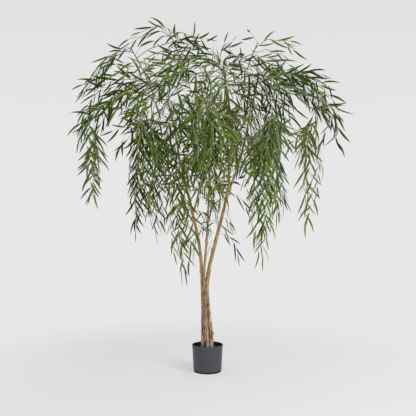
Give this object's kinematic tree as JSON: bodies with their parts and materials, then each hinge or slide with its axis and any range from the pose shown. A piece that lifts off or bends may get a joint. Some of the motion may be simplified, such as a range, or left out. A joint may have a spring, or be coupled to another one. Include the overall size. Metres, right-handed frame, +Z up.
{
  "type": "artificial willow tree",
  "caption": "Artificial weeping willow with slim stems twisted together and a wide hanging crown of narrow leaves, standing in a plain dark nursery pot.",
  "frame": {"origin": "centre of the flat underside of the pot", "axes": "+Z up the tree, +X to its right seen from the front, +Y to its back"},
  "size_m": [1.6277, 1.4647, 2.1086],
  "materials": {
    "pot": "matt moulded plastic, dark slate grey",
    "fill": "rough cement fill, painted near black",
    "bark": "dry tan bark with dark grooves",
    "twig": "plastic-covered wire, dull yellow-green",
    "leaves": "printed leaf cloth, satin, mid and dark green with paler undersides"
  },
  "bodies": {
    "root": {"pot": "pot", "pot_fill": "fill", "right_stem": "bark", "left_stem": "bark", "middle_stem": "bark", "left_bough": "bark", "right_bough": "bark", "leader": "bark", "front_bough": "bark", "back_bough": "bark", "left_twig_lower": "twig", "left_twig_upper": "twig", "right_twig": "twig", "leaves_left_shoulder_rise": "leaves", "leaves_left_shoulder_fall": "leaves", "leaves_front_left_shoulder_rise": "leaves", "leaves_front_left_shoulder_fall": "leaves", "leaves_front_shoulder_rise": "leaves", "leaves_front_shoulder_fall": "leaves", "leaves_front_right_shoulder_rise": "leaves", "leaves_front_right_shoulder_fall": "leaves", "leaves_right_shoulder_rise": "leaves", "leaves_right_shoulder_fall": "leaves", "leaves_back_right_shoulder_rise": "leaves", "leaves_back_right_shoulder_fall": "leaves", "leaves_back_shoulder_rise": "leaves", "leaves_back_shoulder_fall": "leaves", "leaves_back_left_shoulder_rise": "leaves", "leaves_back_left_shoulder_fall": "leaves", "leaves_left_curtain": "leaves", "leaves_right_curtain": "leaves", "leaves_right_low_curtain": "leaves", "leaves_front_curtain": "leaves", "leaves_back_curtain": "leaves", "leaves_left_inner": "leaves", "leaves_front_left_inner": "leaves", "leaves_front_left_low": "leaves", "leaves_front_inner": "leaves", "leaves_front_right_inner": "leaves", "leaves_right_inner": "leaves", "leaves_back_right_inner": "leaves", "leaves_back_inner": "leaves", "leaves_back_left_inner": "leaves", "leaves_heart_left": "leaves", "leaves_heart_right": "leaves", "leaves_heart_back": "leaves", "leaves_top_left": "leaves", "leaves_top_right": "leaves", "leaves_top_left_plume_rise": "leaves", "leaves_top_left_plume_fall": "leaves", "leaves_top_left_arch": "leaves", "leaves_top_middle": "leaves", "leaves_top_right_plume": "leaves"}
  },
  "joints": []
}
